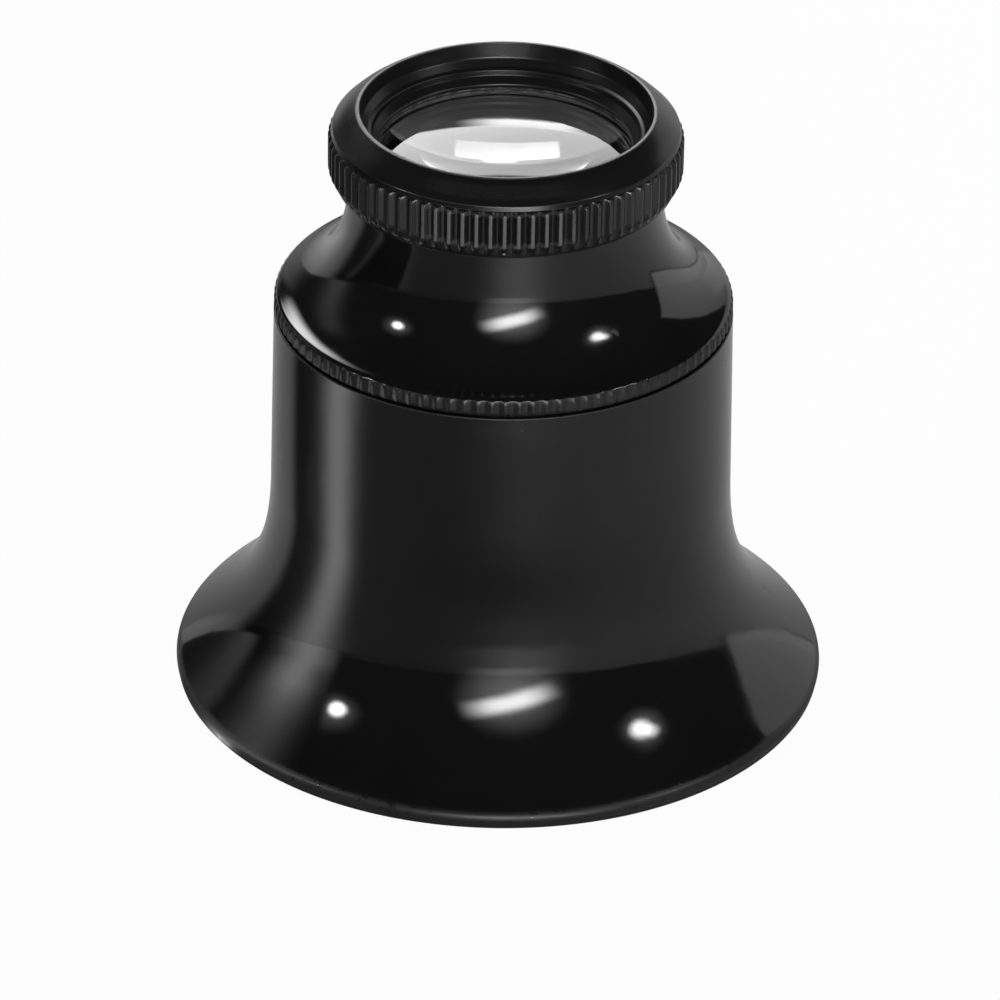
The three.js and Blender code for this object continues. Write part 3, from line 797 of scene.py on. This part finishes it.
# A pale floor that curves up into a low wall all round: wall * rise^2
def stagePiece():
    v = stage
    rise = np.linspace(0, 1, v["sweepRows"])
    radius = np.concatenate([v["flat"], v["radius"] + v["sweep"] * rise])[:, None]
    height = np.concatenate([np.zeros(len(v["flat"])), v["wall"] * rise**2])[:, None]
    return gridMesh("stageFloor", around(radius, evenAngles(v["columns"])[None, :], height), joinRows=False)


# What the polished black mirrors on its left: a soft streak of light, in a direction from the point x, y. It
# fades with height on the low wall. Angles are in degrees and lengths in metres.
streak = {"x": -0.0105, "y": -0.0095, "azimuth": -89, "reach": 12, "radiance": 2.2, "fade": (0.014, 0.021)}


# The shift turns the streak towards the front
def streakLight(look, shift=0):
    v = streak
    return (look.azimuth(None, v["x"], v["y"]) + shift).hump(v["azimuth"], v["reach"]) * v["radiance"]


# The table that mirrors see: levels of light, with the degrees round the loupe or the metres from it between
# which each zone starts and is full. Patches are an azimuth and its reach.
table = {
    "front": 0.13, "right": 0.31, "rightSide": (-10, 50), "darkSide": (-112, -60),
    "fanPatch": (9, 18),
    "fanNear": 0.25, "fanNearFrom": (0.034, 0.042), "fanFar": 0.8, "fanFarFrom": (0.05, 0.066),
    "leftBack": 0.36, "leftBackSide": (-137, -125),
    "glow": 0.3, "glowPatch": (-149, 14), "glowFrom": (0.06, 0.08),
    "panelStart": (108, 112), "panelEnd": (162, 166), "panelFrom": (0.19, 0.21),
    "shade": 0.5, "shadePatch": (55, 60), "shadeTo": (0.016, 0.05),
    "plain": 0.27, "plainBehind": (164, 179), "plainTo": (0.01, 0.015),
}


# The light at each point of the table: a lit fan in front, grey on the right and behind on the left, dark in
# front on the left and where a panel stands behind on the right, shade near the loupe, and the streak. Right
# behind and right under the loupe it is plain, so that no seam shows where the azimuth jumps.
def tableLight(look):
    v = table
    azimuth, far, high = look.azimuth(), look.radius(), look.part(look.place(), "Z")
    fanLight = v["fanNear"] * far.step(*v["fanNearFrom"]) + v["fanFar"] * far.step(*v["fanFarFrom"])
    fromPivot = look.azimuth(None, streak["x"], streak["y"])
    glow = v["glow"] * far.step(*v["glowFrom"]) * azimuth.hump(*v["glowPatch"])
    leftBack = (1 - fromPivot.step(*v["leftBackSide"])) * (v["leftBack"] + glow)
    panel = azimuth.step(*v["panelStart"]) * (1 - azimuth.step(*v["panelEnd"])) * far.step(*v["panelFrom"])
    right = v["right"] * azimuth.step(*v["rightSide"]) * (1 - panel)
    level = v["front"] + right + azimuth.hump(*v["fanPatch"]) * fanLight
    level = level * (1 - v["shade"] * (1 - far.step(*v["shadeTo"])) * azimuth.hump(*v["shadePatch"]))
    level = level * azimuth.step(*v["darkSide"]) + leftBack
    level = level + streakLight(look) * (1 - high.step(*streak["fade"]))
    plain = azimuth.size().step(*v["plainBehind"]).greater(1 - far.step(*v["plainTo"]))
    return level * (1 - plain) + v["plain"] * plain


# Pale paint that the camera sees as near white, with the shadow kept, and that mirrors see as the table
def stagePaint():
    look = Look(bpy.data.materials.new("stagePaint"))
    level, mirrored = tableLight(look), look.rayIs("Glossy")
    low, high = stage["paint"]
    paint = look.blend(look.pattern("paint"), grey(low), grey(high))
    diffuse = look.add("ShaderNodeBsdfDiffuse", {}, {"Color": paint})
    shade = look.blend(mirrored, grey(1.0), look.grey(level))
    glow = look.add("ShaderNodeEmission", {}, {"Color": shade, "Strength": 1.0})
    share = (look.seen() * stage["shown"]).greater(mirrored * stage["mirrored"])
    return look.finish(look.add("ShaderNodeMixShader", {}, {0: share, 1: diffuse, 2: glow}))


floorPiece = stagePiece()
floorPiece.data.materials.append(stagePaint())

# A black card on the left, just below the housing's edge, that only mirrors see: the housing mirrors its dark
# upper side, and the cup below it mirrors the streak on its underside. Its height and radii are in
# millimetres, and near and bend are the metres over which the streak starts and comes straight.
card = {
    "height": 20.6, "inner": 19, "outer": 1300, "from": -134, "to": -58, "rows": 24, "columns": 40,
    "start": (-124, -116), "end": (-76, -70), "near": (0.029, 0.058), "bend": (0.045, 0.12), "bendAngle": 5,
    "streakGain": 1.3, "upper": 0.35, "upperEnd": (-125, -112),
}
hidden = ("camera", "diffuse", "transmission", "volume_scatter", "shadow")


# Part of a flat ring, its radii a fixed ratio apart
def cardPiece():
    v = card
    radius = np.geomspace(v["inner"], v["outer"], v["rows"])[:, None]
    turn = np.radians(np.linspace(v["from"], v["to"], v["columns"]) - 90)[None, :]
    points = around(radius, turn, v["height"])
    index = np.arange(v["rows"] * v["columns"]).reshape(v["rows"], v["columns"])
    faces = np.stack([index[:-1, :-1], index[1:, :-1], index[1:, 1:], index[:-1, 1:]], -1).reshape(-1, 4)
    mesh = bpy.data.meshes.new("shadeCard")
    mesh.from_pydata((points * mm).reshape(-1, 3).tolist(), [], faces.tolist())
    piece = bpy.data.objects.new("shadeCard", mesh)
    bpy.context.scene.collection.objects.link(piece)
    for ray in hidden:
        setattr(piece, "visible_" + ray, False)
    return piece


# Black with a grey end above, the streak below, and clear past its soft sides
def cardPaint():
    v = card
    look = Look(bpy.data.materials.new("cardPaint"))
    azimuth, far = look.azimuth(None, streak["x"], streak["y"]), look.radius()
    cover = azimuth.step(*v["start"]) * (1 - azimuth.step(*v["end"]))
    under = look.add("ShaderNodeNewGeometry", {}, {}, "Backfacing")
    shift = (1 - far.step(*v["bend"])) * v["bendAngle"]
    level = under * streakLight(look, shift) * far.step(*v["near"]) * v["streakGain"]
    level = level + (1 - under) * v["upper"] * (1 - azimuth.step(*v["upperEnd"]))
    glow = look.add("ShaderNodeEmission", {}, {"Color": look.grey(level), "Strength": 1.0})
    clear = look.add("ShaderNodeBsdfTransparent", {}, {})
    return look.finish(look.add("ShaderNodeMixShader", {}, {0: cover, 1: clear, 2: glow}))


shadeCard = cardPiece()
shadeCard.data.materials.append(cardPaint())

# Directions from the loupe and sizes are in degrees, distances in metres: azimuth 0 is towards the camera
# and 90 to the right. Soft is the share of a lamp over which it fades out towards its edge, and dim is how
# much of its light is lost towards its side that lies further clockwise, seen from above; below 0 it gains
# there. A lamp with inGlass false isn't seen through a lens.
lamps = {
    "backPanel": {
        "azimuth": 180.5, "elevation": 33.9, "distance": 0.7, "width": 38, "height": 21.2,
        "radiance": 3.3, "soft": 0.1, "dim": -1,
    },
    "backBar": {
        "azimuth": 177.5, "elevation": 22.3, "distance": 0.69, "width": 15, "height": 5,
        "radiance": 7, "soft": 0.7,
    },
    "backLeft": {
        "azimuth": -151, "elevation": 39, "distance": 0.7, "width": 18, "height": 35,
        "radiance": 10, "soft": 0.9, "round": True, "inGlass": False,
    },
    "rightPanel": {
        "azimuth": 137, "elevation": 12, "distance": 0.2, "width": 54, "height": 32,
        "radiance": 0.9, "soft": 0.05, "dim": 0.6,
    },
    "leftDot": {
        "azimuth": -70.8, "elevation": 29, "distance": 0.6, "width": 10, "height": 8.5,
        "radiance": 40, "soft": 0.8, "round": True,
    },
    "leftHalo": {
        "azimuth": -71.5, "elevation": 29.8, "distance": 0.62, "width": 24, "height": 20,
        "radiance": 1.2, "soft": 1.0, "round": True,
    },
    "rightDot": {
        "azimuth": 64, "elevation": 35, "distance": 0.6, "width": 11, "height": 11,
        "radiance": 26, "soft": 0.8, "round": True,
    },
    "rightDotTwo": {
        "azimuth": 69, "elevation": 35.5, "distance": 0.6, "width": 8, "height": 7,
        "radiance": 16, "soft": 0.8, "round": True,
    },
    "rightHalo": {
        "azimuth": 65, "elevation": 34, "distance": 0.62, "width": 21, "height": 21,
        "radiance": 1.6, "soft": 1.0, "round": True,
    },
    "frontBar": {
        "azimuth": 6, "elevation": 18.7, "distance": 0.6, "width": 46, "height": 16,
        "radiance": 20, "soft": 0.85, "roll": -21,
    },
    "frontGlow": {
        "azimuth": 6, "elevation": 14, "distance": 0.63, "width": 54, "height": 56,
        "radiance": 2.6, "soft": 1.0, "round": True,
    },
}
lampTarget = Vector((0, 0, 0.015))


# How bright a lamp is across its face: it fades towards its edge, by distance from its middle if it is round,
# or else along both its sides
def lampLevel(look, v):
    place = look.add("ShaderNodeNewGeometry", {}, {}, "Parametric")
    middle = look.add("ShaderNodeVectorMath", {"operation": "SUBTRACT"}, {0: place, 1: (0.5, 0.5, 0)})
    middle = look.scaled(middle, (2, 2, 0))
    if v.get("round"):
        return 1 - look.length(middle).step(1 - v["soft"], 1)
    near = [1 - look.part(middle, side).size().step(1 - v["soft"], 1) for side in ("X", "Y")]
    return near[0] * near[1] * (1 - v.get("dim", 0) * look.part(place, "X"))


# Its energy is its radiance times pi times its area
def addLamp(name, v):
    light = bpy.data.lights.new(name, "AREA")
    light.shape = "RECTANGLE"
    sizes = [2 * v["distance"] * math.tan(math.radians(v[side] / 2)) for side in ("width", "height")]
    light.size, light.size_y = sizes
    light.energy = v["radiance"] * math.pi * light.size * light.size_y
    look = Look(light)
    glow = look.add("ShaderNodeEmission", {}, {"Color": grey(1.0), "Strength": lampLevel(look, v)})
    look.add("ShaderNodeOutputLight", {}, {"Surface": glow})
    lamp = bpy.data.objects.new(name, light)
    direction = towards(v["azimuth"], v["elevation"])
    location = lampTarget + direction * v["distance"]
    lamp.matrix_world = Matrix.Translation(location) @ facing(direction, v.get("roll", 0)).to_4x4()
    lamp.visible_camera = False
    lamp.visible_transmission = v.get("inGlass", True)
    bpy.context.scene.collection.objects.link(lamp)


# The way to a lamp: (cos(elevation) * sin(azimuth), -cos(elevation) * cos(azimuth), sin(elevation))
def towards(azimuth, elevation):
    a, e = math.radians(azimuth), math.radians(elevation)
    return Vector((math.cos(e) * math.sin(a), -math.cos(e) * math.cos(a), math.sin(e)))


# A lamp's own axes: Z away from the loupe, X level, then rolled about Z
def facing(direction, roll):
    level = Vector((0, 0, 1)).cross(direction).normalized()
    upright = direction.cross(level)
    axes = Matrix((level, upright, direction)).transposed()
    return axes @ Matrix.Rotation(math.radians(roll), 3, "Z")


for lampName, values in lamps.items():
    addLamp(lampName, values)


# Strip is an azimuth and its reach, and the tops are the heights on the sky between which each zone fades
room = {
    "level": 0.03, "strip": (-123, 9), "stripLevel": 0.34, "stripTop": (0.55, 0.7),
    "behind": (146, 170), "behindLevel": (0.45, 1.1), "behindTop": (0.27, 0.36),
}


# The room above the low wall: pale to the camera and through glass. Mirrors see it dim, with a grey strip on
# the left towards the back and a paler low part behind.
def addRoom():
    v = room
    world = bpy.data.worlds.new("studio")
    bpy.context.scene.world = world
    look = Look(world)
    direction = look.add("ShaderNodeTexCoord", {}, {}, "Generated")
    azimuth, high = look.azimuth(direction), look.part(direction, "Z")
    strip = azimuth.hump(*v["strip"]) * (1 - high.step(*v["stripTop"]))
    behind = azimuth.size().step(*v["behind"]) * (1 - high.step(*v["behindTop"]))
    level = v["level"] + v["stripLevel"] * strip + behind * high.spread(*v["behindLevel"])
    colour = look.blend(look.seen(), look.grey(level), grey(1.0))
    light = look.add("ShaderNodeBackground", {}, {"Color": colour, "Strength": 1.0})
    look.add("ShaderNodeOutputWorld", {}, {"Surface": light})


addRoom()

# Target, distance, lens and sensor are in millimetres, clip in metres
view = {
    "elevation": 30.16, "distance": 400, "lens": 258.52, "sensor": 36, "clip": (0.02, 5),
    "roll": 0.92, "target": (-0.02, 0, 10.16),
}


# Looks at the target from in front and above; its right side is cos(roll) * level + sin(roll) * upright
def addCamera():
    v = view
    e, roll = math.radians(v["elevation"]), math.radians(v["roll"])
    back = Vector((0, -math.cos(e), math.sin(e)))
    level, upright = Vector((1, 0, 0)), Vector((0, math.sin(e), math.cos(e)))
    right = math.cos(roll) * level + math.sin(roll) * upright
    above = math.cos(roll) * upright - math.sin(roll) * level
    camera = bpy.data.objects.new("camera", bpy.data.cameras.new("camera"))
    camera.data.sensor_width, camera.data.lens = v["sensor"], v["lens"]
    camera.data.clip_start, camera.data.clip_end = v["clip"]
    position = (Vector(v["target"]) + back * v["distance"]) * mm
    camera.matrix_world = Matrix.Translation(position) @ Matrix((right, above, back)).transposed().to_4x4()
    bpy.context.scene.collection.objects.link(camera)
    bpy.context.scene.camera = camera


addCamera()
bpy.context.scene.view_settings.view_transform = "Standard"
print("stage, lamps and camera set")
